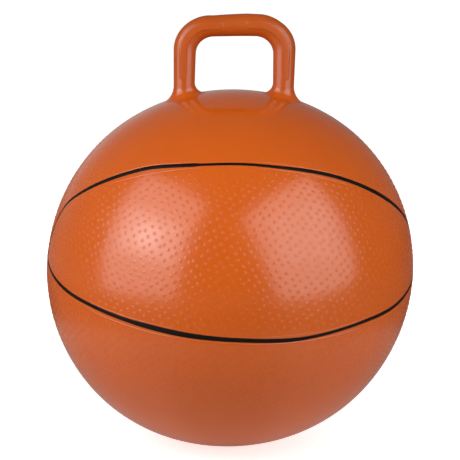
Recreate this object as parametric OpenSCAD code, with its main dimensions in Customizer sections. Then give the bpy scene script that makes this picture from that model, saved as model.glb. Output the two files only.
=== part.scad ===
// Hopper ball: a blown-up vinyl ball with a loop handle on top, two painted
// lines round it and a stopper valve at the back.
// Millimetres, +Z up. The origin is on the floor, under the middle of the ball.
// The loop stands in the XZ plane and the front of the ball faces -Y.

/* [Ball] */
// Width of the ball at its waist
ball_d = 450; // [400:1:520]
// Height of the ball's oval, before its underside flattens on the floor
ball_h = 436; // [390:1:520]
// Thickness of the vinyl skin
skin_t = 1.4; // [1:0.1:3]
// Diameter of the flat patch that the ball rests on
patch_d = 64; // [40:1:110]

/* [Handle] */
// Distance between the middles of the two legs
leg_gap = 120; // [100:1:150]
// Diameter of the grip tube
grip_d = 26; // [20:0.5:30]
// Thickness of the grip tube's wall
grip_t = 4; // [2:0.5:6]
// Height of the top of the handle above the top of the ball
handle_h = 93; // [80:1:120]
// Radius of the loop's corners, along the middle of the tube
corner_r = 30; // [22:1:38]
// Angle that the handle bends to, forwards and backwards
flex_angle = 12; // [5:1:20]
// Clearance of a leg's round end in its root
flex_clear = 0.5; // [0.3:0.1:0.8]

/* [Handle roots] */
// Radius of the fillet between a root and the ball
root_r = 8; // [5:0.5:12]
// Thickness of the vinyl under a leg's end
root_floor = 2.5; // [1.5:0.1:5]
// Thickness of the lip round a leg's end
lip_t = 1.5; // [1:0.1:3]

/* [Painted lines] */
// Thickness of the paint
paint_t = 0.3; // [0.1:0.05:0.6]
// Clearance between the paint and the skin
paint_clear = 0.05; // [0.02:0.01:0.1]
// Width of the upper line
upper_w = 3.6; // [2:0.1:8]
// Tilt of the upper line's plane, front edge up
upper_tilt = 34.5; // [20:0.5:45]
// Lean of the upper line's plane to the right
upper_lean = -1; // [-5:0.1:5]
// Distance of the upper line's plane from the middle of the ball
upper_rise = 38; // [10:1:60]
// Width of the lower line
lower_w = 4.8; // [2:0.1:8]
// Tilt of the lower line's plane, front edge up
lower_tilt = -12.5; // [-25:0.5:-5]
// Lean of the lower line's plane to the right
lower_lean = 2.2; // [-5:0.1:5]
// Distance of the lower line's plane from the middle of the ball
lower_rise = 16; // [0:1:40]

/* [Valve] */
// Diameter of the valve seat's mouth, which fills a hole in the skin
mouth_d = 24; // [20:0.5:32]
// Depth of the flat mouth below the skin's outer surface
mouth_sink = 0.8; // [0.6:0.1:2]
// Diameter of the seat's flange inside the skin
flange_d = 40; // [34:1:60]
// Thickness of the flange
flange_t = 3; // [2:0.1:6]
// Diameter of the seat's neck
neck_d = 15; // [12:0.5:20]
// Length of the neck, from the back of the flange
neck_l = 16; // [10:1:30]
// Width of the bonded joint between the seat and the skin
bond_t = 0.2; // [0.1:0.05:0.4]
// Diameter of the hole through the seat
bore_d = 8; // [6:0.1:10]
// Diameter of the stopper's head
head_d = 15; // [12:0.5:18]
// Thickness of the stopper's head
head_t = 2; // [1.2:0.1:3]
// Width of the finger gap round the stopper's head
finger_gap = 1.5; // [1:0.1:2.5]
// Length of the stopper's shank
shank_l = 15; // [8:0.5:20]
// Number of ribs round the shank
rib_count = 3; // [1:1:5]
// Height of each rib
rib_h = 0.6; // [0.3:0.1:1]
// Clearance of the stopper in the seat
stopper_clear = 0.1; // [0.05:0.01:0.2]

/* [Hidden] */
$fn = 96;
ball_fn = 240;
vinyl = "#cf6327";
paint = "#17130f";
stopper_white = "#e8e4da";

// The ball's outline is an oval of arcs: one over each pole and one round the
// waist, which meet smoothly on a line through the middles of both.
// Share of the oval's difference in size by which the waist's arc is tighter
waist_share = 0.5;
flatness = (ball_d - ball_h) / 2;
waist_r = ball_h / 2 - waist_share * flatness;
waist_x = ball_d / 2 - waist_r;
polar_drop = (1 + 2 * waist_share) / (2 * waist_share) * flatness;
polar_r = ball_h / 2 + polar_drop;
meet_angle = atan2((1 + 2 * waist_share) / (2 * waist_share), 1 + waist_share);
meet_start = waist_x > 0 ? [waist_x, 0] : [0, -polar_drop];
reach = ball_d + ball_h;
meet_end = meet_start + reach * [cos(meet_angle), sin(meet_angle)];

// Heights above the floor
ball_mid = sqrt(pow(polar_r, 2) - pow(patch_d / 2, 2)) - polar_drop;
ball_top = ball_mid + ball_h / 2;
polar_mid = ball_mid - polar_drop;

// The loop's middle line: legs, corner arcs and a top bar
leg_x = leg_gap / 2;
leg_r = grip_d / 2;
socket_r = leg_r + flex_clear;
collar_r = socket_r + lip_t;
flex_z = polar_mid + sqrt(pow(polar_r + socket_r + root_floor, 2) - pow(leg_x, 2));
rim_z = flex_z - leg_r * tan(flex_angle / 2);
corner_x = leg_x - corner_r;
corner_z = ball_top + handle_h - leg_r - corner_r;
leg_l = corner_z - flex_z;

// Where a leg's middle line meets the ball, and how the skin slopes there
foot_tilt = asin(leg_x / polar_r);
foot_z = polar_mid + polar_r * cos(foot_tilt);
flare_r = collar_r + root_r;

// The valve's own measure runs outwards from the middle of the ball. The
// flange is flat, so only its rim meets the curved skin.
skin_y = ball_d / 2;
mouth_y = skin_y - mouth_sink;
head_back_y = mouth_y - head_t;
shelf_y = head_back_y - stopper_clear;
rim_depth = skin_t + bond_t;
flange_front_y = min(
    waist_x + sqrt(pow(waist_r - rim_depth, 2) - pow(flange_d / 2, 2)),
    sqrt(pow(skin_y - rim_depth, 2) - pow(flange_d / 2, 2))
);
flange_back_y = flange_front_y - flange_t;
neck_end_y = flange_back_y - neck_l;
rib_r = bore_d / 2 - stopper_clear;
shank_r = rib_r - rib_h;
rib_step = shank_l / (rib_count + 1);

echo(flex_z = flex_z, ball_mid = ball_mid, ball_top = ball_top, corner_z = corner_z);

// Right half of the oval, grown outwards by a thickness
module half_oval(grow) {
    polar_area = concat(waist_x > 0 ? [[0, 0]] : [], [meet_start, meet_end, [0, reach]]);
    waist_area = concat(waist_x < 0 ? [[0, 0]] : [], [[reach, 0], meet_end, meet_start]);
    for (half = [0, 1]) {
        mirror([0, half]) {
            intersection() {
                translate([0, -polar_drop]) circle(polar_r + grow, $fn = ball_fn);
                polygon(polar_area);
            }
            intersection() {
                translate([waist_x, 0]) circle(waist_r + grow, $fn = ball_fn);
                polygon(waist_area);
            }
        }
    }
}

// The ball as a solid, grown by a thickness and cut flat at a height
module ball_solid(grow, floor_z) {
    rotate_extrude($fn = ball_fn) difference() {
        translate([0, ball_mid]) half_oval(grow);
        translate([0, floor_z - reach]) square([reach, reach]);
    }
}

// Turns what is drawn along +Z from the middle of the ball to face backwards
module at_valve(y) {
    translate([0, y, ball_mid]) rotate([-90, 0, 0]) children();
}

module ball_shell() {
    color(vinyl) difference() {
        ball_solid(0, 0);
        ball_solid(-skin_t, skin_t);
        at_valve(flange_back_y) cylinder(d = mouth_d, h = ball_d / 2 - flange_back_y + skin_t);
    }
}

// A leg, from the corner above it down to its round end
module leg_rod(r) {
    translate([0, 0, -leg_l]) {
        cylinder(r = r, h = leg_l);
        rotate_extrude() intersection() {
            circle(r);
            translate([0, -r]) square([r, r]);
        }
    }
}

// The loop as one solid rod of a given radius
module loop_rod(r) {
    translate([0, 0, corner_z]) {
        for (turn = [0, 180]) {
            rotate([0, 0, turn]) {
                translate([leg_x, 0, 0]) leg_rod(r);
                translate([corner_x, 0, 0]) rotate([90, 0, 0])
                    rotate_extrude(angle = 90) translate([corner_r, 0]) circle(r);
            }
        }
        translate([-corner_x, 0, corner_r]) rotate([0, 90, 0]) cylinder(r = r, h = 2 * corner_x);
    }
}

module handle_loop() {
    color(vinyl) difference() {
        loop_rod(leg_r);
        loop_rod(leg_r - grip_t);
    }
}

// The flared foot that carries a leg's end, square to the skin below it
module root_flare() {
    translate([leg_x, 0, foot_z]) rotate([0, foot_tilt, 0]) rotate_extrude() difference() {
        translate([0, -root_r]) square([flare_r, 2 * root_r]);
        translate([flare_r, root_r]) circle(root_r);
    }
}

module handle_root() {
    difference() {
        union() {
            root_flare();
            translate([leg_x, 0, foot_z - root_r]) cylinder(r = collar_r, h = rim_z - foot_z + root_r);
        }
        ball_solid(0, 0);
        translate([leg_x, 0, flex_z]) sphere(socket_r);
        translate([leg_x, 0, rim_z]) cylinder(r = 2 * flare_r, h = 2 * flare_r);
    }
}

module left_handle_root() {
    color(vinyl) rotate([0, 0, 180]) handle_root();
}

module right_handle_root() {
    color(vinyl) handle_root();
}

// A flat slice through the ball in which a painted line lies
module line_slice(tilt, lean, rise, width) {
    translate([0, 0, ball_mid]) rotate([-tilt, lean, 0]) translate([0, 0, rise])
        cube([2 * reach, 2 * reach, width], center = true);
}

module upper_slice() {
    line_slice(upper_tilt, upper_lean, upper_rise, upper_w);
}

module upper_line() {
    color(paint) difference() {
        intersection() {
            ball_solid(paint_clear + paint_t, 0);
            upper_slice();
        }
        ball_solid(paint_clear, 0);
    }
}

// The lower line stops against the upper one where the two cross
module lower_line() {
    color(paint) difference() {
        intersection() {
            ball_solid(paint_clear + paint_t, 0);
            line_slice(lower_tilt, lower_lean, lower_rise, lower_w);
        }
        ball_solid(paint_clear, 0);
        upper_slice();
    }
}

// A soft insert bonded inside the skin, with its mouth in the skin's hole
module valve_seat() {
    color(vinyl) difference() {
        union() {
            at_valve(flange_back_y) cylinder(d = mouth_d - 2 * bond_t, h = mouth_y - flange_back_y);
            at_valve(flange_back_y) cylinder(d = flange_d, h = flange_t);
            at_valve(neck_end_y) cylinder(d = neck_d, h = neck_l + flange_t);
        }
        at_valve(neck_end_y - neck_l) cylinder(d = bore_d, h = 2 * ball_d);
        at_valve(shelf_y) cylinder(d = head_d + 2 * finger_gap, h = ball_d);
    }
}

// Outline of the stopper from the tip of its shank to the top of its head
module stopper_outline() {
    barbs = [
        for (i = [1 : rib_count])
            each [[shank_r, i * rib_step - rib_h], [rib_r, i * rib_step], [shank_r, i * rib_step]]
    ];
    polygon(concat(
        [[0, 0], [shank_r - rib_h, 0]],
        barbs,
        [[shank_r, shank_l], [head_d / 2, shank_l], [head_d / 2, shank_l + head_t], [0, shank_l + head_t]]
    ));
}

module valve_stopper() {
    color(stopper_white) at_valve(head_back_y - shank_l) rotate_extrude() stopper_outline();
}

ball_shell();
left_handle_root();
right_handle_root();
handle_loop();
upper_line();
lower_line();
valve_seat();
valve_stopper();
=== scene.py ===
# %% [markdown]
# # A hopper ball
# A hopper ball is moulded in soft vinyl and blown up until it is tight: a ball to sit on, with a
# loop handle on top to hold. The CAD frame holds its sizes and its joints. This lesson builds the
# looks around that frame: a smooth oval skin with a valve hole, moulded pips, painted lines in
# shallow channels, a handle that grows out of the ball, and a stopper at the back.

# %% Load the frame
import math

import bpy
import numpy as np
from mathutils import Euler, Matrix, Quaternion, Vector


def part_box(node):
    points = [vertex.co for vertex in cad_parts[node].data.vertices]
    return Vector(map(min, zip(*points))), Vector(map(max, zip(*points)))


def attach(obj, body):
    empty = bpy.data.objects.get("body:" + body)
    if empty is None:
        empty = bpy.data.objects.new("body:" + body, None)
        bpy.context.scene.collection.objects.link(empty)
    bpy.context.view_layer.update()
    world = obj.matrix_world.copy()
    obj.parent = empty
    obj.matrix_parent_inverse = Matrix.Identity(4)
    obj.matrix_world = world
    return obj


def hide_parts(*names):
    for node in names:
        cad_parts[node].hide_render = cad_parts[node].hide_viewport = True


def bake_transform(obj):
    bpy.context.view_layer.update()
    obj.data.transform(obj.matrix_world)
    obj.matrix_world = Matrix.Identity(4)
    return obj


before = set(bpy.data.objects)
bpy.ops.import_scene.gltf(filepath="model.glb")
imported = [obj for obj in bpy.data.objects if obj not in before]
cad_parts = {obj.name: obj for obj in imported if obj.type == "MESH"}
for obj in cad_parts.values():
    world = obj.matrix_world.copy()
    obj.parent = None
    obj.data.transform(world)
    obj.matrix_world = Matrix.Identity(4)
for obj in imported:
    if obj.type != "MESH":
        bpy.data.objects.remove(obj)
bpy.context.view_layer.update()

# %% [markdown]
# ## The ball's rule
# A blown-up ball isn't quite a sphere: it is a little wider than it is tall. An ellipse would do,
# but arcs are easier to work with, so the outline is an oval of two arcs: a tighter one round the
# waist and a flatter one over each pole. Every point of an arc lies one radius away from the arc's
# middle, along the surface's own normal. So the normal's slope is the best number to draw it with.
# Two things make it less perfect. Soft vinyl stretches most where it curves most, so the shoulders
# bulge a little between waist and poles. And this ball sags to one side, so each point rises or
# sinks with its distance from the middle, which tilts the outline by a degree.

# %% The oval of arcs
MM = 0.001
waist_width = 450 * MM
oval_height = 437.5 * MM
waist_share = 0.5
bulge = 1.5 * MM
shoulder_scale = 27 / 4
sag = 0.016
seat_low, seat_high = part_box("valve_seat")
ball_mid = (seat_low.z + seat_high.z) / 2

flatness = (waist_width - oval_height) / 2
waist_r = oval_height / 2 - waist_share * flatness
waist_x = waist_width / 2 - waist_r
polar_drop = (1 + 2 * waist_share) / (2 * waist_share) * flatness
polar_r = oval_height / 2 + polar_drop
meet_slope = math.atan2((1 + 2 * waist_share) / (2 * waist_share), 1 + waist_share)
polar_mid = ball_mid - polar_drop


def shoulder(sine):
    """How far the skin bulges where its normal rises with this sine: fully at 55 degrees."""
    return shoulder_scale * bulge * sine ** 4 * (1 - sine ** 2)


def skin_point(slope, bearing, lift=0.0):
    """Point whose normal rises at slope; bearing is 0 at the front and grows to the right."""
    slope, bearing = np.broadcast_arrays(slope, bearing)
    steep = np.abs(slope) > meet_slope
    radius = np.where(steep, polar_r, waist_r) + lift + shoulder(np.sin(slope))
    out = np.where(steep, 0.0, waist_x) + radius * np.cos(slope)
    up = radius * np.sin(slope) - np.where(steep, polar_drop * np.sign(slope), 0.0)
    x = out * np.sin(bearing)
    return np.stack([x, -out * np.cos(bearing), ball_mid + up + sag * x], axis=-1)


def skin_gap(points):
    """How far points lie outside the oval, and the oval's normals there."""
    out = np.hypot(points[..., 0], points[..., 1])
    up = points[..., 2] - ball_mid - sag * points[..., 0]
    steep = np.arctan2(np.abs(up), out - waist_x) > meet_slope
    from_out = out - np.where(steep, 0.0, waist_x)
    from_up = up + np.where(steep, polar_drop * np.sign(up), 0.0)
    length = np.hypot(from_out, from_up)
    side = from_out / length / out
    level_x = side * points[..., 0] - sag * from_up / length
    normal = np.stack([level_x, side * points[..., 1], from_up / length], axis=-1)
    stretch = np.linalg.norm(normal, axis=-1)
    radius = np.where(steep, polar_r, waist_r) + shoulder(from_up / length)
    return (length - radius) / stretch, normal / stretch[..., None]


print(f"waist arc {waist_r:.4f} m, polar arc {polar_r:.4f} m, middle of the ball at {ball_mid:.4f} m")

# %% [markdown]
# ## Small helpers
# Most pieces here are rings of points joined by quads. Two helpers make the faces between rings,
# and one turns points and faces into an object with smooth shading, which stays sharp only where
# two faces meet at a real edge.

# %% Rings to faces, and faces to a piece
def bridge(low, high, size):
    """Quads between two closed rings, by the places where they start in the point list."""
    after = [(i + 1) % size for i in range(size)]
    return [(low + i, low + j, high + j, high + i) for i, j in enumerate(after)]


def ring_faces(ring_count, size, first=0, flip=False, closed=False):
    """Quads from each ring of the point list to the next, and from the last to the first if closed."""
    faces = []
    for ring in range(ring_count if closed else ring_count - 1):
        faces += bridge(first + ring * size, first + (ring + 1) % ring_count * size, size)
    return [face[::-1] for face in faces] if flip else faces


def make_piece(name, points, faces, material, sharp_degrees=40):
    mesh = bpy.data.meshes.new(name)
    mesh.from_pydata([tuple(point) for point in points], [], faces)
    mesh.polygons.foreach_set("use_smooth", [True] * len(mesh.polygons))
    mesh.set_sharp_from_angle(angle=math.radians(sharp_degrees))
    mesh.materials.append(material)
    piece = bpy.data.objects.new(name, mesh)
    bpy.context.scene.collection.objects.link(piece)
    print(f"{name}: {len(mesh.vertices)} points, {len(mesh.polygons)} faces")
    return piece


# %% [markdown]
# ## Finishes
# The vinyl is glossy but not a mirror: the studio lights blur into soft patches on it. Its colour
# is even, with a faint cloudiness from the moulding, and the mould leaves a fine grain. The
# handle's vinyl is a little darker than the ball's, and the ball's crown is smoother than the
# rest. So a finish has a lower and an upper look, and the feet of the handle go from one to the
# other without a line. The paint was put on by hand, so it is uneven along its length. The stopper
# is natural white plastic. All of them are noise on Object coordinates, so they stay put on the
# surface in any view.

# %% Node helpers
noise_spread = (0.3, 0.7)
mix_places = {"FLOAT": (2, 3, 0), "RGBA": (6, 7, 2)}


def set_inputs(tree, node, inputs):
    """Links inputs of a node, by name or number, to sockets, or sets them to values."""
    for name, value in inputs.items():
        if isinstance(value, bpy.types.NodeSocket):
            tree.links.new(value, node.inputs[name])
        else:
            node.inputs[name].default_value = value


def add_node(tree, kind, inputs=None, **settings):
    """A new node with its settings and its inputs."""
    node = tree.nodes.new(kind)
    for name, value in settings.items():
        setattr(node, name, value)
    set_inputs(tree, node, inputs or {})
    return node


def object_place(tree):
    return add_node(tree, "ShaderNodeTexCoord").outputs["Object"]


def map_range(tree, value, before, after=(0.0, 1.0), kind="LINEAR"):
    """A number taken from one range to another, and kept inside it."""
    return add_node(tree, "ShaderNodeMapRange", {
        "Value": value, "From Min": before[0], "From Max": before[1],
        "To Min": after[0], "To Max": after[1],
    }, interpolation_type=kind).outputs["Result"]


def ease_between(tree, value, start, end):
    """0 before start, 1 after end, smooth between them."""
    return map_range(tree, value, (start, end), kind="SMOOTHSTEP")


def mix_by(tree, share, low, high, kind):
    """A colour or a number that goes from low to high with a share."""
    low_place, high_place, result_place = mix_places[kind]
    mix = add_node(tree, "ShaderNodeMix", {0: share, low_place: low, high_place: high}, data_type=kind)
    return mix.outputs[result_place]


def colour_ramp(tree, factor, stops):
    """A colour that goes through (position, colour) stops with a number."""
    ramp = add_node(tree, "ShaderNodeValToRGB", {"Fac": factor})
    elements = ramp.color_ramp.elements
    while len(elements) < len(stops):
        elements.new(0.5)
    for element, (position, colour) in zip(elements, stops):
        element.position = position
        element.color = (*colour, 1)
    return ramp.outputs["Color"]


def noise(tree, scale, detail=3.0, stretch=(1, 1, 1)):
    """A noise value on Object coordinates, with features of about 1 / scale metres."""
    mapping = add_node(tree, "ShaderNodeMapping", {"Vector": object_place(tree), "Scale": stretch})
    return add_node(tree, "ShaderNodeTexNoise", {
        "Vector": mapping.outputs["Vector"], "Scale": scale, "Detail": detail,
    }).outputs["Fac"]


def mix_colours(tree, factor, first, second):
    """A colour that goes from first to second with a noise value."""
    return colour_ramp(tree, factor, list(zip(noise_spread, (first, second))))


def spread_value(tree, factor, low, high):
    """A number that goes from low to high with a noise value."""
    return map_range(tree, factor, noise_spread, (low, high))


def add_bump(tree, height, depth, before=None):
    """A bump of a depth in metres, on top of an earlier one if there is one."""
    bump = add_node(tree, "ShaderNodeBump", {"Height": height, "Distance": depth})
    if before:
        tree.links.new(before, bump.inputs["Normal"])
    return bump.outputs["Normal"]


# %% Glossy vinyl, paint and stopper plastic
def new_material(name):
    material = bpy.data.materials.new(name)
    material.use_nodes = True
    return material, material.node_tree, material.node_tree.nodes["Principled BSDF"]


def vinyl_look(tree, base, cloud, roughness):
    """A cloudy colour and an uneven gloss."""
    colour = mix_colours(tree, noise(tree, scale=14), base, cloud)
    return colour, spread_value(tree, noise(tree, scale=60), *roughness)


def vinyl_finish(name, look, shine, upper_look=None, heights=None):
    """Moulded vinyl with slow waves and a fine grain, and with another look further up if given."""
    material, tree, shader = new_material(name)
    colour, gloss = vinyl_look(tree, *look)
    if upper_look:
        upper_colour, upper_gloss = vinyl_look(tree, *upper_look)
        up = add_node(tree, "ShaderNodeSeparateXYZ", {0: object_place(tree)}).outputs["Z"]
        share = ease_between(tree, up, *heights)
        colour = mix_by(tree, share, colour, upper_colour, "RGBA")
        gloss = mix_by(tree, share, gloss, upper_gloss, "FLOAT")
    waves = add_bump(tree, noise(tree, scale=22, detail=1), depth=0.2 * MM)
    grain = add_bump(tree, noise(tree, scale=1400, detail=2), depth=0.004 * MM, before=waves)
    set_inputs(tree, shader, {
        "Base Color": colour, "Roughness": gloss, "Normal": grain, "Specular IOR Level": shine,
    })
    return material


def paint_finish():
    """Brushed black paint: streaks along the line, a little brown where it is thin."""
    material, tree, shader = new_material("line_paint")
    streaks = noise(tree, scale=40, stretch=(1, 1, 9))
    set_inputs(tree, shader, {
        "Base Color": mix_colours(tree, streaks, (0.004, 0.003, 0.003), (0.01, 0.008, 0.006)),
        "Roughness": spread_value(tree, streaks, low=0.4, high=0.55),
        "Normal": add_bump(tree, noise(tree, scale=500), depth=0.04 * MM),
        "Specular IOR Level": 0.12,
    })
    return material


def stopper_finish():
    """Natural white plastic with a satin grain."""
    material, tree, shader = new_material("stopper")
    set_inputs(tree, shader, {
        "Base Color": mix_colours(tree, noise(tree, scale=120), (0.8, 0.77, 0.69), (0.74, 0.71, 0.62)),
        "Roughness": spread_value(tree, noise(tree, scale=300), low=0.34, high=0.46),
        "Normal": add_bump(tree, noise(tree, scale=1800, detail=2), depth=0.02 * MM),
    })
    return material


vinyl_shine = 0.75
skin_colours = (0.71, 0.121, 0.008), (0.68, 0.113, 0.007)
skin_look = (*skin_colours, (0.19, 0.23))
crown_look = (*skin_colours, (0.095, 0.115))
pip_look = (*skin_colours, (0.3, 0.36))
handle_look = ((0.55, 0.094, 0.006), (0.53, 0.088, 0.005), (0.28, 0.33))
valve_look = ((0.5, 0.08, 0.008), (0.45, 0.07, 0.006), (0.38, 0.46))
crown_heights = (390 * MM, 415 * MM)
pip_heights = (338 * MM, 366 * MM)
foot_heights = (420 * MM, 442 * MM)
skin_vinyl = vinyl_finish("skin_vinyl", skin_look, vinyl_shine, crown_look, crown_heights)
pip_vinyl = vinyl_finish("pip_vinyl", pip_look, vinyl_shine, skin_look, pip_heights)
handle_vinyl = vinyl_finish("handle_vinyl", crown_look, vinyl_shine, handle_look, foot_heights)
valve_vinyl = vinyl_finish("valve_vinyl", valve_look, shine=0.5)
line_paint = paint_finish()
stopper_plastic = stopper_finish()
print("finishes:", [material.name for material in bpy.data.materials])

# %% [markdown]
# ## The skin
# The skin is a thin wall of vinyl, and the air inside pushes it out to the oval. A ready-made
# sphere has no valve hole and no flat patch underneath, so the wall is drawn ring by ring from the
# oval's rule. At the back a small window is left out of the rings, and a patch runs from the
# window's edge to a round hole. The inner face of the wall is the same drawing one thickness
# further in, and the two meet in a rounded lip at the hole.

# %% A wall of the ball with a window for the valve
skin_t = 1.4 * MM
column_count = 192
row_count = 180
window_columns = 3
window_rows = 6
hole_r = 12 * MM
lip_r = 0.5 * MM
floor_soft = 1 * MM
patch_steps = 5

slopes = np.radians(np.linspace(-90, 90, row_count + 1)[1:-1])
bearings = 2 * np.pi * np.arange(column_count) / column_count
back_column = column_count // 2
waist_row = row_count // 2 - 1


def rest_on_floor(points, height):
    """Flattens what lies below a height, with a soft edge."""
    above = points[..., 2] - height
    near = np.clip(floor_soft - np.abs(above), 0, None) / floor_soft
    points[..., 2] = height + np.maximum(above, 0) + near * near * floor_soft / 4
    return points


def window_edge():
    """Grid places round the window, in order."""
    left, right = back_column - window_columns, back_column + window_columns
    low, high = waist_row - window_rows, waist_row + window_rows
    edge = [(low, column) for column in range(left, right)]
    edge += [(row, right) for row in range(low, high)]
    edge += [(high, column) for column in range(right, left, -1)]
    edge += [(row, left) for row in range(high, low, -1)]
    return edge


def valve_chart(across, up, lift):
    """Point of the skin at a distance across and up from the middle of the valve hole."""
    return skin_point(up / waist_r, np.pi + across / (waist_width / 2), lift)


def ball_wall(lift, height):
    """Points and faces of one face of the wall, and the places of its hole's ring."""
    grid = skin_point(slopes[:, None], bearings[None, :], lift)
    points = list(rest_on_floor(grid, height).reshape(-1, 3))
    faces = []
    for row in range(len(slopes) - 1):
        for column in range(column_count):
            beside_hole = abs(column + 0.5 - back_column) < window_columns
            if beside_hole and abs(row + 0.5 - waist_row) < window_rows:
                continue
            right = (column + 1) % column_count
            low, high = row * column_count, (row + 1) * column_count
            faces.append((low + column, low + right, high + right, high + column))
    top = ball_mid + oval_height / 2 + lift
    for pole_z, row, flip in ((height, 0, True), (top, len(slopes) - 1, False)):
        points.append(np.array([0, 0, pole_z]))
        for column in range(column_count):
            pair = (row * column_count + column, row * column_count + (column + 1) % column_count)
            faces.append((*(pair[::-1] if flip else pair), len(points) - 1))
    edge = window_edge()
    across = np.array([bearings[column] - np.pi for _, column in edge]) * waist_width / 2
    up = np.array([slopes[row] for row, _ in edge]) * waist_r
    edge_places = [row * column_count + column for row, column in edge]
    coarse = np.stack([across, up], -1)
    halfway = (coarse + np.roll(coarse, -1, 0)) / 2
    fine = np.stack([coarse, halfway], 1).reshape(-1, 2)
    ring_size = len(fine)
    to_circle = fine / np.hypot(fine[:, 0], fine[:, 1])[:, None]
    first = len(points)
    for step in range(1, patch_steps + 1):
        share = step / patch_steps
        flat = fine * (1 - share) + to_circle * (hole_r + lip_r) * share
        points += list(valve_chart(flat[:, 0], flat[:, 1], lift))
    for i, place in enumerate(edge_places):
        after = edge_places[(i + 1) % len(edge_places)]
        middle = first + 2 * i + 1
        faces.append((place, after, middle))
        faces.append((place, middle, first + 2 * i))
        faces.append((after, first + (2 * i + 2) % ring_size, middle))
    faces += ring_faces(patch_steps, ring_size, first)
    return points, faces, to_circle


outer_points, outer_faces, hole_turns = ball_wall(0, 0)
inner_points, inner_faces, _ = ball_wall(-skin_t, skin_t)

# %% Join the two faces of the wall at the hole's rounded lip
lip_steps = 4
ring_size = len(hole_turns)
lip_points = []
for step in range(1, lip_steps + 1):
    turn = step / lip_steps * math.pi / 2
    flat = hole_turns * (hole_r + lip_r * (1 - math.sin(turn)))
    lip_points += list(valve_chart(flat[:, 0], flat[:, 1], -lip_r * (1 - math.cos(turn))))
flat = hole_turns * hole_r
lip_points += list(valve_chart(flat[:, 0], flat[:, 1], -skin_t))

skin_points = outer_points + lip_points + inner_points
inner_first = len(outer_points) + len(lip_points)
skin_faces = list(outer_faces)
skin_faces += ring_faces(lip_steps + 2, ring_size, len(outer_points) - ring_size)
skin_faces += [tuple(inner_first + place for place in face[::-1]) for face in inner_faces]
skin_faces += bridge(inner_first - ring_size, len(skin_points) - ring_size, ring_size)

ball_skin = make_piece("ball_skin", skin_points, skin_faces, skin_vinyl)
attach(ball_skin, "ball")
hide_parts("ball_shell")

# %% [markdown]
# ## Where the lines run
# Two lines run round the ball, each in a plane that cuts it at a slant. A brush never follows a
# plane exactly, and on the left the upper line swings down to meet the lower one. So each line is
# a ring in its plane plus a drift, which a few listed points give along the ring: an angle, 0 at
# the front, and a distance. A smooth curve through those points fills in the rest.

# %% Rings in a slanted plane
line_steps = 900
settle_steps = 40
line_turns = 2 * np.pi * np.arange(line_steps) / line_steps - np.pi


def along_ring(knots, blur=3.0):
    """A closed curve through (degrees, millimetres) pairs, rounded over a few degrees."""
    degrees, values = np.array(knots, float).T
    plain = np.interp(np.degrees(line_turns), degrees, values, period=360) * MM
    reach = round(blur / 360 * line_steps)
    return sum(np.roll(plain, shift) for shift in range(-reach, reach + 1)) / (2 * reach + 1)


def line_ring(tilt, lean, rise, drift, lift=0.0):
    """Points on the skin along a line, drifted off its plane, and the skin's normals there."""
    turn = np.array(Euler((math.radians(-tilt), math.radians(lean), 0)).to_matrix())
    spoke = np.stack([np.sin(line_turns), -np.cos(line_turns), 0 * line_turns], -1)
    reach = np.full(line_steps, waist_width / 2)
    for _ in range(settle_steps):
        flat = spoke * reach[:, None]
        flat[:, 2] = rise + drift
        points = flat @ turn.T + np.array([0, 0, ball_mid])
        gap, normal = skin_gap(points)
        reach -= gap
    return points + normal * lift, normal


upper_plane = (34.5, -0.3, 36.5 * MM)
lower_plane = (-12.5, 2.2, 14.8 * MM)
upper_swing = along_ring([
    (-170, 0), (-160, -2), (-150, -7), (-140, -15), (-130, -26), (-120, -38), (-110, -49), (-100, -57),
    (-92, -58), (-87, -54), (-81, -45), (-76, -28), (-71, -13), (-66, -4.5), (-61, 0), (170, 0),
])
lower_swing = 0 * line_turns
upper_brush = along_ring([
    (-170, 0), (-90, 0), (-55, 1.1), (-40, 1.75), (-25, 3.05), (-15, -0.45), (-8, -1.6), (4, -1.1),
    (14, -1.8), (24, -0.3), (32, 0.8), (50, 1.1), (65, 1.9), (100, 0.5), (150, -0.6),
])
lower_brush = along_ring([
    (-170, 0.4), (-110, -0.6), (-65, -2.1), (-55, -0.8), (-45, 1.4), (-35, 2), (-22, 2.1), (-12, 1.05),
    (5, 0.65), (13, -0.5), (20, -1.2), (27, -0.25), (36, 1.35), (45, 1.9), (53, 0.3), (60, -0.7),
    (75, 0.3), (130, -0.5),
])
print(f"upper line swings by {upper_swing.min() / MM:.0f} mm on the left")

# %% [markdown]
# ## Painted lines
# The paint is a thin film that stands a little proud, thicker in the middle than at its edges. A
# flat strip of colour in the skin's material could fake it, but then nothing would catch the
# light. So each line is a low closed ribbon, laid on the skin across the line, and its width
# follows the brush: heavy on one stroke, thin where the brush left the ball.

# %% Lay a ribbon of paint
paint_h = 0.28 * MM
paint_sink = 0.08 * MM
ribbon_shape = [(-1.0, -0.3), (-0.92, 0.45), (-0.6, 0.9), (0, 1.0), (0.6, 0.9), (0.92, 0.45), (1.0, -0.3)]


def paint_ribbon(name, node, plane, drift, width):
    middle, normal = line_ring(*plane, drift)
    ahead = np.roll(middle, -1, 0) - np.roll(middle, 1, 0)
    ahead /= np.linalg.norm(ahead, axis=1)[:, None]
    across = np.cross(normal, ahead)
    rings = []
    for side, height in ribbon_shape:
        rail = middle + across * (side * width / 2)[:, None]
        gap, rail_normal = skin_gap(rail)
        rings.append(rail + rail_normal * (height * paint_h - gap)[:, None])
    gap, rail_normal = skin_gap(middle)
    rings.append(middle - rail_normal * (paint_sink + gap)[:, None])
    points = np.stack(rings, 1).reshape(-1, 3)
    faces = ring_faces(line_steps, len(rings), closed=True)
    ribbon = make_piece(name, points, faces, line_paint, sharp_degrees=60)
    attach(ribbon, "ball")
    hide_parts(node)


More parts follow.
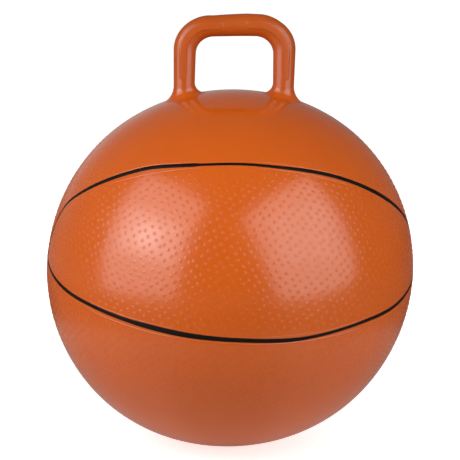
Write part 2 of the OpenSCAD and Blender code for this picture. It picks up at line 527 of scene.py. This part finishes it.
upper_width = along_ring([
    (-170, 4), (-110, 3.2), (-72, 3), (-56, 4.6), (-42, 5.5), (-13, 5.3), (-10.6, 5.2), (-9.4, 3.6),
    (10, 4.1), (22, 5.2), (42, 5.8), (52, 6.4), (64, 6), (100, 4.4), (140, 4.2),
], blur=1.0)
lower_width = along_ring([
    (-170, 4.8), (-110, 3.8), (-75, 4), (-62, 5), (-45, 4.6), (-29, 5.3), (-25, 6.6), (-14, 6.7),
    (0, 5.5), (20, 5.2), (24, 4.2), (37, 4.1), (50, 4.8), (65, 5.2), (85, 4), (130, 4.4),
])
paint_ribbon("upper_line_paint", "upper_line", upper_plane, upper_swing + upper_brush, upper_width)
paint_ribbon("lower_line_paint", "lower_line", lower_plane, lower_swing + lower_brush, lower_width)

# %% [markdown]
# ## Channel beads
# The mould has one fine bead on each side of a line, and the painter works between the two.
# They show as thin light edges beside the black, the lower one of each pair more than the upper. A
# bead follows a path, so Geometry Nodes sweep a round profile along it. The path lies under the
# skin, so only a low crest of the round shows.

# %% A tree that sweeps a bead along a path
def new_tree(name, sockets):
    """A Geometry Nodes tree with named inputs, and a dict of its inputs' output sockets."""
    tree = bpy.data.node_groups.new(name, "GeometryNodeTree")
    tree.interface.new_socket("Geometry", in_out="INPUT", socket_type="NodeSocketGeometry")
    tree.interface.new_socket("Geometry", in_out="OUTPUT", socket_type="NodeSocketGeometry")
    for title, kind in sockets:
        tree.interface.new_socket(title, in_out="INPUT", socket_type="NodeSocket" + kind)
    given = tree.nodes.new("NodeGroupInput")
    return tree, given.outputs


def finish_tree(tree, geometry, material):
    """Realize Instances and Set Material end every tree."""
    smooth = add_node(tree, "GeometryNodeSetShadeSmooth", {"Geometry": geometry})
    real = add_node(tree, "GeometryNodeRealizeInstances", {"Geometry": smooth.outputs[0]})
    coat = add_node(tree, "GeometryNodeSetMaterial", {"Geometry": real.outputs[0], "Material": material})
    add_node(tree, "NodeGroupOutput", {"Geometry": coat.outputs[0]})


def grow_piece(name, start_mesh, tree, values):
    """Runs a tree on a start mesh with named values, and keeps the result as a plain mesh."""
    grower = bpy.data.objects.new(name + "_start", start_mesh)
    bpy.context.scene.collection.objects.link(grower)
    modifier = grower.modifiers.new(name, "NODES")
    modifier.node_group = tree
    for item in tree.interface.items_tree:
        if item.in_out == "INPUT" and item.name in values:
            modifier[item.identifier] = values[item.name]
    depsgraph = bpy.context.evaluated_depsgraph_get()
    mesh = bpy.data.meshes.new_from_object(grower.evaluated_get(depsgraph))
    mesh.name = name
    bpy.data.objects.remove(grower)
    piece = bpy.data.objects.new(name, mesh)
    bpy.context.scene.collection.objects.link(piece)
    print(f"{name}: {len(mesh.vertices)} points, {len(mesh.polygons)} faces")
    return piece


def bead_tree():
    tree, given = new_tree("bead_sweep", [
        ("Bead radius", "Float"), ("Sides", "Int"), ("Material", "Material"),
    ])
    path = add_node(tree, "GeometryNodeMeshToCurve", {"Mesh": given["Geometry"]})
    profile = add_node(tree, "GeometryNodeCurvePrimitiveCircle", {
        "Resolution": given["Sides"], "Radius": given["Bead radius"],
    })
    sweep = add_node(tree, "GeometryNodeCurveToMesh", {
        "Curve": path.outputs[0], "Profile Curve": profile.outputs["Curve"],
    })
    finish_tree(tree, sweep.outputs[0], given["Material"])
    return tree


# %% Sweep the four beads
bead_r = 0.95 * MM
bead_sides = 18
low_bead_h = 0.33 * MM
high_bead_h = 0.16 * MM
bead_clear = 1.1 * MM
upper_beads = (-5.2 * MM, 3.4 * MM)
lower_beads = (-4.6 * MM, 4.2 * MM)


def closed_paths(name, paths):
    """A mesh of closed loops of edges, one for each path."""
    mesh = bpy.data.meshes.new(name)
    edges = []
    for number, path in enumerate(paths):
        first = number * len(path)
        edges += [(first + i, first + (i + 1) % len(path)) for i in range(len(path))]
    mesh.from_pydata([tuple(point) for point in np.concatenate(paths)], edges, [])
    return mesh


bead_paths = []
for plane, swing, brush, width, (below, above) in (
    (upper_plane, upper_swing, upper_brush, upper_width, upper_beads),
    (lower_plane, lower_swing, lower_brush, lower_width, lower_beads),
):
    low_side = np.minimum(below, brush - width / 2 - bead_clear)
    high_side = np.maximum(above, brush + width / 2 + bead_clear)
    for offset, height in ((low_side, low_bead_h), (high_side, high_bead_h)):
        bead_paths.append(line_ring(*plane, swing + offset, height - bead_r)[0])
line_beads = grow_piece("line_beads", closed_paths("bead_paths", bead_paths), bead_tree(), {
    "Bead radius": bead_r, "Sides": bead_sides, "Material": skin_vinyl,
})
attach(line_beads, "ball")

# %% [markdown]
# ## Pips
# Low round pips cover the ball between its crown and its underside, so that legs grip it. They lie
# about 9.3 mm apart, with no rows that the eye can follow for long, and get smaller towards both
# ends. Turning by the golden angle from one pip to the next while climbing evenly gives just that
# pattern, so Geometry Nodes count the pips, place each on the oval by its number, nudge it a little
# with a fixed seed, leave out those in a channel or near the valve, and set a low soft dome on what
# is left. Their worn tops are a little rougher than the skin.

# %% Maths nodes in short form
def maths(tree, operation, first, second=None, third=None):
    values = {i: value for i, value in enumerate((first, second, third)) if value is not None}
    return add_node(tree, "ShaderNodeMath", values, operation=operation).outputs[0]


def vectors(tree, operation, first, second):
    """A vector operation; SCALE takes its number by name."""
    second_input = "Scale" if operation == "SCALE" else 1
    node = add_node(tree, "ShaderNodeVectorMath", {0: first, second_input: second}, operation=operation)
    return node.outputs["Value" if operation == "DISTANCE" else "Vector"]


def combine(tree, x, y, z):
    return add_node(tree, "ShaderNodeCombineXYZ", {0: x, 1: y, 2: z}).outputs[0]


# %% A tree that grows pips on the oval
golden_angle = math.pi * (3 - math.sqrt(5))
smallest_pip = 0.3
pip_sink = 0.05


def pip_normals(tree, given):
    """The direction that each pip faces: an even climb, a golden turn and a small nudge."""
    number = add_node(tree, "GeometryNodeInputIndex").outputs[0]
    share = maths(tree, "DIVIDE", number, given["Count"])
    band = maths(tree, "SUBTRACT", given["Top"], given["Bottom"])
    rise = maths(tree, "MULTIPLY_ADD", share, band, given["Bottom"])
    level = maths(tree, "SQRT", maths(tree, "SUBTRACT", 1.0, maths(tree, "MULTIPLY", rise, rise)))
    turn = maths(tree, "MULTIPLY", number, golden_angle)
    x = maths(tree, "MULTIPLY", level, maths(tree, "SINE", turn))
    y = maths(tree, "MULTIPLY", level, maths(tree, "COSINE", turn))
    nudge = add_node(tree, "FunctionNodeRandomValue", {"Seed": given["Seed"]}, data_type="FLOAT_VECTOR")
    nudge.inputs[0].default_value = (-1, -1, -1)
    nudge.inputs[1].default_value = (1, 1, 1)
    shift = vectors(tree, "SCALE", nudge.outputs[0], given["Nudge"])
    moved = vectors(tree, "ADD", combine(tree, x, y, rise), shift)
    return add_node(tree, "ShaderNodeVectorMath", {0: moved}, operation="NORMALIZE").outputs[0]


def pip_places(tree, normal):
    """The oval's rule as nodes: one radius along the normal, from the middle of its arc."""
    parts = add_node(tree, "ShaderNodeSeparateXYZ", {0: normal}).outputs
    level = add_node(tree, "ShaderNodeVectorMath", {
        0: combine(tree, parts[0], parts[1], 0.0),
    }, operation="NORMALIZE").outputs[0]
    round_waist = vectors(tree, "SCALE", normal, waist_r)
    waist = vectors(tree, "ADD", round_waist, vectors(tree, "SCALE", level, waist_x))
    drop = maths(tree, "MULTIPLY", maths(tree, "SIGN", parts[2]), -polar_drop)
    polar = vectors(tree, "ADD", vectors(tree, "SCALE", normal, polar_r), combine(tree, 0.0, 0.0, drop))
    steep = maths(tree, "GREATER_THAN", maths(tree, "ABSOLUTE", parts[2]), math.sin(meet_slope))
    arc = add_node(tree, "GeometryNodeSwitch", {0: steep, 1: waist, 2: polar}, input_type="VECTOR")
    fourth = maths(tree, "POWER", parts[2], 4.0)
    sixth = maths(tree, "POWER", parts[2], 6.0)
    swell_by = maths(tree, "MULTIPLY", maths(tree, "SUBTRACT", fourth, sixth), shoulder_scale * bulge)
    swollen = vectors(tree, "SCALE", normal, swell_by)
    full = vectors(tree, "ADD", arc.outputs[0], swollen)
    across = add_node(tree, "ShaderNodeSeparateXYZ", {0: full}).outputs[0]
    lean = maths(tree, "MULTIPLY_ADD", across, sag, ball_mid)
    return vectors(tree, "ADD", full, combine(tree, 0.0, 0.0, lean)), parts[2]


def pip_dome(tree, given):
    """A cone whose rings are lifted to a wave, so that it flows into the skin at its edge."""
    cone = add_node(tree, "GeometryNodeMeshCone", {
        "Vertices": 6, "Side Segments": 3, "Radius Top": 0.0, "Radius Bottom": 1.0, "Depth": 1.0,
    }, fill_type="NONE")
    parts = add_node(tree, "ShaderNodeSeparateXYZ", {
        0: add_node(tree, "GeometryNodeInputPosition").outputs[0],
    }).outputs
    wave = maths(tree, "COSINE", maths(tree, "MULTIPLY", maths(tree, "SUBTRACT", 1.0, parts[2]), math.pi))
    share = maths(tree, "MULTIPLY_ADD", wave, 0.5, 0.5 - pip_sink)
    height = maths(tree, "MULTIPLY", share, given["Pip height"])
    half = maths(tree, "MULTIPLY", given["Pip width"], 0.5)
    x, y = (maths(tree, "MULTIPLY", part, half) for part in (parts[0], parts[1]))
    place = combine(tree, x, y, height)
    return add_node(tree, "GeometryNodeSetPosition", {
        "Geometry": cone.outputs["Mesh"], "Position": place,
    }).outputs[0]


def pip_tree():
    tree, given = new_tree("pip_field", [
        ("Count", "Int"), ("Bottom", "Float"), ("Top", "Float"), ("Fade", "Float"), ("Nudge", "Float"),
        ("Pip width", "Float"), ("Pip height", "Float"), ("Clear of lines", "Float"),
        ("Valve", "Vector"), ("Clear of valve", "Float"), ("Seed", "Int"), ("Material", "Material"),
    ])
    normal = pip_normals(tree, given)
    place, rise = pip_places(tree, normal)
    points = add_node(tree, "GeometryNodePoints", {"Count": given["Count"], "Position": place})
    here = add_node(tree, "GeometryNodeInputPosition").outputs[0]
    to_lines = add_node(tree, "GeometryNodeProximity", {0: given["Geometry"]}, target_element="EDGES")
    in_channel = maths(tree, "LESS_THAN", to_lines.outputs["Distance"], given["Clear of lines"])
    to_valve = vectors(tree, "DISTANCE", here, given["Valve"])
    by_valve = maths(tree, "LESS_THAN", to_valve, given["Clear of valve"])
    from_bottom = ease_between(tree, maths(tree, "SUBTRACT", rise, given["Bottom"]), 0.0, given["Fade"])
    from_top = ease_between(tree, maths(tree, "SUBTRACT", given["Top"], rise), 0.0, given["Fade"])
    full = maths(tree, "MULTIPLY", from_bottom, from_top)
    size = maths(tree, "MULTIPLY_ADD", full, 1 - smallest_pip, smallest_pip)
    facing = add_node(tree, "GeometryNodeCaptureAttribute", {"Geometry": points.outputs[0]})
    facing.capture_items.new("VECTOR", "Facing")
    facing.capture_items.new("FLOAT", "Size")
    set_inputs(tree, facing, {"Facing": normal, "Size": size})
    kept = add_node(tree, "GeometryNodeDeleteGeometry", {
        "Geometry": facing.outputs["Geometry"], "Selection": maths(tree, "MAXIMUM", in_channel, by_valve),
    })
    stand = add_node(tree, "FunctionNodeAlignRotationToVector", {
        "Vector": facing.outputs["Facing"],
    }, axis="Z")
    domes = add_node(tree, "GeometryNodeInstanceOnPoints", {
        "Points": kept.outputs[0], "Instance": pip_dome(tree, given), "Rotation": stand.outputs[0],
        "Scale": facing.outputs["Size"],
    })
    finish_tree(tree, domes.outputs[0], given["Material"])
    return tree


# %% Grow the pips
pip_step = 9.3 * MM
pip_bottom = math.sin(math.radians(-36))
pip_top = math.sin(math.radians(64))
band_area = 2 * math.pi * (waist_width / 2) ** 2 * (pip_top - pip_bottom)
pip_count = round(band_area / (math.sqrt(3) / 2 * pip_step ** 2))

line_middles = [line_ring(*upper_plane, upper_swing)[0], line_ring(*lower_plane, lower_swing)[0]]
pips = grow_piece("pips", closed_paths("pip_limits", line_middles), pip_tree(), {
    "Count": pip_count, "Bottom": pip_bottom, "Top": pip_top, "Fade": 0.36, "Nudge": 1.4 * MM / waist_r,
    "Pip width": 5.2 * MM, "Pip height": 0.39 * MM, "Clear of lines": 8.4 * MM,
    "Valve": (0, waist_width / 2, ball_mid), "Clear of valve": 22 * MM, "Seed": 5, "Material": pip_vinyl,
})
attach(pips, "ball")

# %% [markdown]
# ## The handle
# The handle is a tube of the same vinyl, bent into a loop, and it grows out of the ball in a soft
# fillet. A ready-made bent pipe would stop dead at the skin, so the loop is drawn ring by ring.
# Under each leg a ball is rolled round in the corner between leg and skin, and the arc that it
# leaves is the fillet. A long flat panel stands proud round each upper corner, front and back.

# %% The loop's middle line and its fillets
loop_low, loop_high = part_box("handle_loop")
swell = 0.5 * MM
leg_x = loop_high.x - (loop_high.y - loop_low.y) / 2
tube_r = loop_high.x - leg_x + swell
corner_r = 30 * MM
half_bar = leg_x - corner_r
corner_z = loop_high.z - tube_r + swell - corner_r
leg_thin = 0.7 * MM
tube_sides = 144
ring_step = 0.7 * MM
fillet_side = 12 * MM
fillet_outer = 6 * MM
fillet_ends = 6 * MM
fillet_steps = 16
tuck_depth = 0.5 * MM
tuck_reach = 1.2 * MM
root_share = 0.5
root_depth = 6 * MM

sides = 2 * np.pi * np.arange(tube_sides) / tube_sides
fillet_r = fillet_side + fillet_outer * np.cos(sides) + fillet_ends * np.cos(sides) ** 2
foot_r = tube_r - leg_thin
rolled_out = leg_x + (foot_r + fillet_r) * np.cos(sides)
rolled_front = (foot_r + fillet_r) * np.sin(sides)
rolled_up = np.sqrt((polar_r + fillet_r) ** 2 - rolled_out ** 2 - rolled_front ** 2)


def smooth(share):
    """Goes from 0 to 1 with a share, level at both ends."""
    return share * share * (3 - 2 * share)


def foot_rings():
    """Rings of (out, front, up) from inside the ball, over the skin, up the fillet to the leg."""
    rolled = np.stack([rolled_out, rolled_front, rolled_up], -1)
    to_skin = -rolled / np.linalg.norm(rolled, axis=1)[:, None]
    to_leg = np.stack([-np.cos(sides), -np.sin(sides), 0 * sides], -1)
    angle = np.arccos((to_skin * to_leg).sum(1))[:, None]
    touch = rolled + fillet_r[:, None] * to_skin
    axis = np.array([leg_x, 0, math.sqrt(polar_r ** 2 - leg_x ** 2)])
    outwards = touch - axis
    outwards /= np.linalg.norm(outwards, axis=1)[:, None]
    tuck = touch * (1 - tuck_depth / polar_r) + outwards * tuck_reach
    deep = axis + (touch - axis) * root_share - np.array([0, 0, root_depth])
    rings = [deep, tuck]
    for step in range(fillet_steps + 1):
        share = step / fillet_steps
        arm = (np.sin((1 - share) * angle) * to_skin + np.sin(share * angle) * to_leg) / np.sin(angle)
        rings.append(rolled + fillet_r[:, None] * arm)
    for ring in rings:
        level = np.hypot(ring[:, 0], ring[:, 1]) / polar_r
        ring[:, 2] += polar_mid + shoulder(np.sqrt(1 - level ** 2))
    return rings


print(f"tube {2 * tube_r / MM:.1f} mm thick, legs {2 * leg_x / MM:.1f} mm apart")

# %% Rings of the right half, from the foot to the middle of the bar
corner_length = corner_r * math.pi / 2
panel_h = 0.25 * MM
panel_flat = 0.75
panel_tip_w = 5 * MM
panel_foot_w = 4.4 * MM
panel_out = 1.3 * MM
panel_edge = 0.5 * MM
panel_turn = 0.6
panel_tip = 14.5 * MM
panel_foot_z = 448.5 * MM
panel_foot = half_bar + corner_length + corner_z - panel_foot_z


def panel_lift(from_middle):
    """How far the panels stand proud on a ring at a distance along the loop from its middle."""
    nearest = np.clip(from_middle, panel_tip + panel_tip_w, panel_foot - panel_foot_w)
    share = (nearest - panel_tip) / (panel_foot - panel_tip)
    half_w = panel_tip_w + (panel_foot_w - panel_tip_w) * share
    lift = 0 * sides
    for front in (np.pi / 2, 3 * np.pi / 2):
        swing = (sides - front) if front < np.pi else (front - sides)
        across = -tube_r * swing - panel_out
        gap = np.hypot(across, from_middle - nearest) - half_w
        cover = smooth(np.clip(0.5 - gap / (2 * panel_edge), 0, 1))
        to_flat = tube_r / np.cos(np.clip(across / tube_r, -panel_turn, panel_turn)) - tube_r
        lift = np.maximum(lift, (panel_h + panel_flat * to_flat) * cover)
    return lift


def tube_ring(middle, outwards, radius, from_middle):
    """A ring of (out, front, up) round the loop's middle line."""
    reach = radius + panel_lift(from_middle)
    ring = np.stack([outwards[0] * np.cos(sides), np.sin(sides), outwards[1] * np.cos(sides)], -1)
    return np.array([middle[0], 0, middle[1]]) + ring * np.reshape(reach, (-1, 1))


# The inside of a bend is a wider arc than the tube alone would leave, so the tube is filled out there.
corner_ease = 5 * MM
inner_r = corner_r - tube_r
eased_r = inner_r + corner_ease
inside = np.clip(-np.cos(sides), 0, 1) ** 2


def straight_fill(past):
    """How much the wider arc fills on a straight, at a distance past the bend."""
    return eased_r - np.sqrt(eased_r ** 2 - np.clip(corner_ease - past, 0, corner_ease) ** 2)


def bend_fill(turn):
    both = math.cos(turn) + math.sin(turn)
    return inner_r + corner_ease * both - math.sqrt(corner_ease ** 2 * (both ** 2 - 2) + eased_r ** 2)


half_rings = foot_rings()
foot_top = half_rings[-1][:, 2]
leg_steps = round((corner_z - foot_top.mean()) / ring_step)
for step in range(1, leg_steps + 1):
    up = foot_top + (corner_z - foot_top) * step / leg_steps
    along = half_bar + corner_length + corner_z - up
    radius = foot_r + leg_thin * (step / leg_steps) + inside * straight_fill(corner_z - up)
    raised = np.stack([0 * up, 0 * up, up], -1)
    half_rings.append(tube_ring((leg_x, 0), (1, 0), radius, along) + raised)
corner_steps = round(corner_length / ring_step)
for step in range(1, corner_steps + 1):
    turn = step / corner_steps * math.pi / 2
    outwards = (math.cos(turn), math.sin(turn))
    middle = (half_bar + corner_r * outwards[0], corner_z + corner_r * outwards[1])
    along = half_bar + corner_length * (1 - step / corner_steps)
    half_rings.append(tube_ring(middle, outwards, tube_r + inside * bend_fill(turn), along))
bar_steps = round(half_bar / ring_step)
for step in range(1, bar_steps + 1):
    along = half_bar * (1 - step / bar_steps)
    radius = tube_r + inside * straight_fill(half_bar - along)
    half_rings.append(tube_ring((along, corner_z + corner_r), (0, 1), radius, along))
print(f"half of the loop: {len(half_rings)} rings of {tube_sides} points")

# %% Mirror the half, bow the bar and close the ends
bow_middle = 14 * MM
bow_depth = 4 * MM
bow_reach = 40 * MM
bow_power = 1.4

right_half = np.stack(half_rings) * np.array([1, -1, 1])
left_half = right_half[-2::-1] * np.array([-1, 1, 1])
loop_points = np.concatenate([right_half, left_half]).reshape(-1, 3)
bar_share = np.clip((loop_points[:, 2] - corner_z) / (corner_r + tube_r), 0, 1)
from_bow = np.clip(np.abs(loop_points[:, 0] - bow_middle), 0, bow_reach)
bow = bow_depth * (from_bow / leg_x) ** bow_power
loop_points[:, 2] += sag * loop_points[:, 0] - bow * smooth(bar_share)
loop_rings = len(loop_points) // tube_sides
loop_faces = ring_faces(loop_rings, tube_sides, flip=True)
for ring in (0, loop_rings - 1):
    cap = tuple(ring * tube_sides + i for i in range(tube_sides))
    loop_faces.append(cap if ring == 0 else cap[::-1])
handle_skin = make_piece("handle_skin", loop_points, loop_faces, handle_vinyl)

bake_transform(handle_skin)
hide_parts("handle_loop", "left_handle_root", "right_handle_root")

# %% [markdown]
# ## The valve
# Air goes in at the back, through a soft insert whose mouth lies in the skin's hole, and a ribbed
# stopper closes it. Both are turned shapes. Spinning an outline in edit mode works too, but here
# the outline is a short list of corners, each with its own rounding, so that it can be read and
# changed like a drawing.

# %% Turn an outline with rounded corners
def rounded(corners, steps=4):
    """A closed outline in which each (radius, along, rounding) corner is an arc."""
    outline = []
    for number, (x, y, rounding) in enumerate(corners):
        here = np.array([x, y])
        before = np.array(corners[number - 1][:2]) - here
        after = np.array(corners[(number + 1) % len(corners)][:2]) - here
        if rounding == 0:
            outline.append(here)
            continue
        start = here + before / np.linalg.norm(before) * rounding
        end = here + after / np.linalg.norm(after) * rounding
        for step in range(steps + 1):
            share = step / steps
            outline.append((1 - share) ** 2 * start + 2 * share * (1 - share) * here + share ** 2 * end)
    return np.array(outline)


def turned_piece(name, outline, material, body, node, turn_count=96):
    """An outline turned about the valve's axis, which runs backwards through the ball's middle."""
    turns = 2 * np.pi * np.arange(turn_count) / turn_count
    rings = []
    for radius, along in outline:
        ring = np.stack([radius * np.cos(turns), 0 * turns + along, ball_mid + radius * np.sin(turns)], -1)
        rings.append(ring)
    faces = ring_faces(len(rings), turn_count, closed=True)
    piece = make_piece(name, np.concatenate(rings), faces, material, sharp_degrees=50)
    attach(piece, body)
    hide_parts(node)


# %% The valve's mouth
mouth_y = seat_high.y
flange_r = seat_high.x
bore_r = 4 * MM
neck_r = 7.5 * MM
mouth_r = 11.8 * MM
head_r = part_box("valve_stopper")[1].x
head_t = 2 * MM
cup_clear = 1.5 * MM
fit_gap = 0.1 * MM
flange_set = 1.74 * MM
flange_t = 3 * MM
cup_r = head_r + cup_clear
shelf_y = mouth_y - head_t - fit_gap
flange_front = mouth_y - flange_set
flange_back = flange_front - flange_t
seat_outline = rounded([
    (bore_r, seat_low.y, 0.3 * MM), (neck_r, seat_low.y, 0.5 * MM), (neck_r, flange_back, 0.6 * MM),
    (flange_r, flange_back, 0.6 * MM), (flange_r, flange_front, 0.6 * MM),
    (mouth_r, flange_front, 0.2 * MM), (mouth_r, mouth_y, 0.5 * MM),
    (cup_r, mouth_y, 0.6 * MM), (cup_r, shelf_y, 0.5 * MM),
    (bore_r, shelf_y, 0.4 * MM),
])
turned_piece("valve_mouth", seat_outline, valve_vinyl, "ball", "valve_seat")

# %% The stopper
shank_l = 15 * MM
rib_count = 3
rib_h = 0.6 * MM
rib_r = bore_r - fit_gap
shank_r = rib_r - rib_h
head_back = mouth_y - head_t
tip_y = head_back - shank_l
rib_step = shank_l / (rib_count + 1)
pole_r = 0.02 * MM
stopper_corners = [(pole_r, tip_y, 0), (shank_r - rib_h, tip_y, 0.5 * MM)]
for rib in range(1, rib_count + 1):
    rib_y = tip_y + rib * rib_step
    stopper_corners += [(shank_r, rib_y - rib_h, 0), (rib_r, rib_y, 0.15 * MM), (shank_r, rib_y, 0)]
stopper_corners += [
    (shank_r, head_back, 0), (head_r, head_back, 0.4 * MM), (head_r, mouth_y, 0.7 * MM),
    (pole_r, mouth_y, 0),
]
stopper_outline = rounded(stopper_corners)
turned_piece("stopper_plug", stopper_outline, stopper_plastic, "stopper", "valve_stopper")

# %% [markdown]
# ## The studio
# The photograph's light comes from two large soft boxes in front, one on each side, so the ball
# shows two soft patches with a darker gap between them. The lamps are area lamps of the same reach
# as the boxes, set round the ball by bearing and elevation. Each box is brighter towards its
# middle, so smaller lamps stand in front of it, and the right box is rolled, because its patch
# leans. One more box behind keeps the back from going dark. It isn't in the photograph's
# reflections, so it lights the skin without showing in it. World and floor are white to the camera.
# To the ball they are a dim studio, and what the floor sends up depends on the place.

# %% Soft boxes
ball_middle = Vector((0, 0, ball_mid))


def soft_box(name, bearing, elevation, wide, high, distance, radiance, roll=0.0, mirrored=True):
    """An area lamp that faces the ball and looks a given number of degrees wide and high."""
    a, e = math.radians(bearing), math.radians(elevation)
    out = Vector((math.sin(a) * math.cos(e), -math.cos(a) * math.cos(e), math.sin(e)))
    lamp = bpy.data.lights.new(name, "AREA")
    lamp.shape = "RECTANGLE"
    lamp.size = 2 * distance * math.tan(math.radians(wide / 2))
    lamp.size_y = 2 * distance * math.tan(math.radians(high / 2))
    lamp.energy = radiance * math.pi * lamp.size * lamp.size_y
    holder = bpy.data.objects.new(name, lamp)
    holder.visible_glossy = mirrored
    holder.location = ball_middle + out * distance
    holder.rotation_mode = "QUATERNION"
    holder.rotation_quaternion = out.to_track_quat("Z", "Y") @ Quaternion((0, 0, 1), math.radians(roll))
    bpy.context.scene.collection.objects.link(holder)
    print(f"{name}: {lamp.size:.2f} x {lamp.size_y:.2f} m, {lamp.energy:.0f} W")


soft_box("left_box", bearing=-55, elevation=20, wide=52, high=67, distance=1.5, radiance=1.96)
soft_box("left_glow", bearing=-53, elevation=24, wide=38, high=22, distance=1.46, radiance=1.7)
soft_box("left_bulb", bearing=-53, elevation=24, wide=14, high=11, distance=1.44, radiance=2.7)
soft_box("right_box", bearing=47.2, elevation=23, wide=54, high=60, distance=1.5, radiance=2.02, roll=11)
soft_box("right_glow", bearing=47, elevation=27, wide=36, high=28, distance=1.46, radiance=0.6)
soft_box(
    "back_box", bearing=180, elevation=12, wide=56, high=22, distance=1.5, radiance=2.4, mirrored=False,
)

# %% World and floor
def ray_kinds(tree):
    """Light Path's outputs, and 1 for what is seen by the camera or through something clear."""
    rays = tree.nodes.new("ShaderNodeLightPath").outputs
    return rays, maths(tree, "MAXIMUM", rays["Is Camera Ray"], rays["Is Transmission Ray"])


def dim(tree, value, share, by):
    """A number that a share of 1 takes down by a fraction."""
    return maths(tree, "MULTIPLY", value, maths(tree, "MULTIPLY_ADD", share, -by, 1.0))


def studio_world():
    """White to the camera; to the ball, a studio that is bright behind it and dim in front."""
    bright_way = (-0.28, 0.96, 0.0)
    levels = ((0.0, 0.04), (0.5, 0.08), (0.8, 0.12), (0.93, 0.2), (0.97, 0.3), (1.0, 0.5))
    white = (1, 1, 1, 1)
    world = bpy.data.worlds.new("studio")
    world.use_nodes = True
    tree = world.node_tree
    _, seen = ray_kinds(tree)
    way = tree.nodes.new("ShaderNodeTexCoord").outputs["Generated"]
    towards = add_node(tree, "ShaderNodeVectorMath", {0: way, 1: bright_way}, operation="DOT_PRODUCT")
    behind = maths(tree, "MULTIPLY_ADD", towards.outputs["Value"], 0.5, 0.5)
    stops = [(position, (level, level, level)) for position, level in levels]
    colour = mix_by(tree, seen, colour_ramp(tree, behind, stops), white, "RGBA")
    tree.links.new(colour, tree.nodes["Background"].inputs["Color"])
    bpy.context.scene.world = world


def studio_floor():
    """A pale floor that stays white to the camera and keeps the ball's shadow."""
    half = 14.0
    drop = -0.4 * MM
    gloss_level = 0.16
    diffuse_level = 0.6
    seen_shade = 0.8
    corners = [(-half, -half, drop), (half, -half, drop), (half, half, drop), (-half, half, drop)]
    material, tree, shader = new_material("studio_floor")
    tree.nodes.remove(shader)
    rays, seen = ray_kinds(tree)
    place = object_place(tree)
    across, away, _ = add_node(tree, "ShaderNodeSeparateXYZ", {0: place}).outputs
    far = add_node(tree, "ShaderNodeVectorMath", {0: place}, operation="LENGTH").outputs["Value"]
    near = ease_between(tree, far, 0.4, 0.1)
    beyond = ease_between(tree, far, 0.9, 1.6)
    close_by = ease_between(tree, far, 0.45, 0.2)
    on_right = ease_between(tree, maths(tree, "DIVIDE", across, far), 0.1, 0.7)
    in_front = ease_between(tree, maths(tree, "DIVIDE", away, far), -0.8, -1.0)

    # To the skin the floor glows close by, as painted light from below and in its reflections; from about
    # a metre out it glows in its reflections only.
    far_back = dim(tree, beyond, on_right, by=0.7)
    to_gloss = maths(tree, "MULTIPLY", maths(tree, "ADD", near, far_back), rays["Is Glossy Ray"])
    to_diffuse = maths(tree, "MULTIPLY", near, rays["Is Diffuse Ray"])
    diffuse_part = maths(tree, "MULTIPLY", to_diffuse, diffuse_level)
    lit = maths(tree, "MULTIPLY_ADD", to_gloss, gloss_level, diffuse_part)
    glow = map_range(tree, far, (0.3, 1.2), (0.7, 1.0))
    strength = maths(tree, "MULTIPLY_ADD", glow, seen, lit)
    emission = add_node(tree, "ShaderNodeEmission", {"Strength": strength})

    # To all but the camera, the floor's colour is darker in front of the ball and close to it: painted
    # shade.
    table = map_range(tree, far, (0.45, 0.6), (0.62, 0.17))
    dimmed = dim(tree, dim(tree, table, in_front, by=0.33), close_by, by=0.36)
    shade = maths(tree, "MAXIMUM", dimmed, maths(tree, "MULTIPLY", seen, seen_shade))
    diffuse = add_node(tree, "ShaderNodeBsdfDiffuse", {"Color": combine(tree, shade, shade, shade)})
    both = add_node(tree, "ShaderNodeAddShader", {0: emission.outputs[0], 1: diffuse.outputs[0]})
    tree.links.new(both.outputs[0], tree.nodes["Material Output"].inputs["Surface"])
    floor = make_piece("floor", corners, [(0, 1, 2, 3)], material)


studio_world()
studio_floor()

# %% The camera
# The photograph is square, and the camera stands a little above the ball's middle, which lies
# straight below the middle of the picture.
picture_size = 460
focal_pixels = 1637.7
ball_in_picture = (0.0, -36.9)
camera_distance = 2.026
camera_elevation = math.radians(12.5)
camera_roll = math.radians(1.2)

camera_data = bpy.data.cameras.new("camera")
camera_data.sensor_width = 36
camera_data.lens = focal_pixels / picture_size * camera_data.sensor_width
camera = bpy.data.objects.new("camera", camera_data)
bpy.context.scene.collection.objects.link(camera)
axis_elevation = camera_elevation + math.atan(ball_in_picture[1] / focal_pixels)
backwards = Vector((0, -math.cos(axis_elevation), math.sin(axis_elevation)))
turn = backwards.to_track_quat("Z", "Y") @ Quaternion((0, 0, 1), camera_roll)
seen = Vector((ball_in_picture[0], ball_in_picture[1], -focal_pixels)) / focal_pixels
camera.rotation_mode = "QUATERNION"
camera.rotation_quaternion = turn
camera.location = ball_middle - turn @ (seen * camera_distance / seen.length)
bpy.context.scene.camera = camera
bpy.context.scene.view_settings.view_transform = "Standard"
print(f"camera at {[round(value, 3) for value in camera.location]}, lens {camera_data.lens:.1f} mm")
